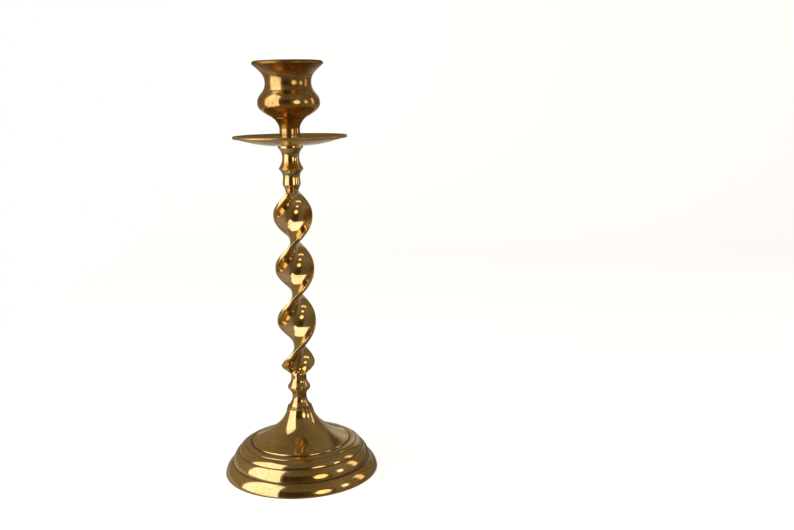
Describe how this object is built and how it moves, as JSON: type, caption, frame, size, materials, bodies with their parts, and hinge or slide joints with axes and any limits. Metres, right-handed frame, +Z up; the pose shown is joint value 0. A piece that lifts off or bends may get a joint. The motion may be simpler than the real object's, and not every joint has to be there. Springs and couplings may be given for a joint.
{
  "type": "candlestick",
  "caption": "Polished brass candlestick with a stepped round base, a spiral twisted stem, a drip pan and a screw-off cup for a standard dinner candle.",
  "frame": {"origin": "centre of the base's foot ring, on the table plane", "axes": "+Z up along the candlestick's axis towards the cup's mouth; -Y faces the viewer of the picture, who sees the twisted bar edge-on halfway up; +X to the viewer's right"},
  "size_m": [0.096, 0.096, 0.254],
  "materials": {
    "cast_brass": "turned and polished cast brass, lightly aged",
    "sheet_brass": "spun and polished sheet brass, lightly aged",
    "zinc_steel": "zinc plated steel"
  },
  "bodies": {
    "holder": {"base": "cast_brass", "stem": "cast_brass", "base_screw": "zinc_steel", "base_washer": "zinc_steel"},
    "stud": {"cup_stud": "zinc_steel"},
    "cup": {"candle_cup": "cast_brass"},
    "pan": {"drip_pan": "sheet_brass"}
  },
  "joints": [
    {"name": "cup_rise", "type": "slide", "parent": "holder", "child": "stud", "axis": [0, 0, 1], "range_m": [0, 0.008]},
    {"name": "cup_turn", "type": "hinge", "parent": "stud", "child": "cup", "pos_m": [0, 0, 0.2055], "axis": [0, 0, 1], "range_deg": [0, 2880]},
    {"name": "pan_turn", "type": "hinge", "parent": "holder", "child": "pan", "pos_m": [0, 0, 0.2043], "axis": [0, 0, 1], "continuous": true}
  ],
  "couplings": [
    {"joint": "cup_rise", "follows": "cup_turn", "m_per_rad": 0.00015915}
  ]
}
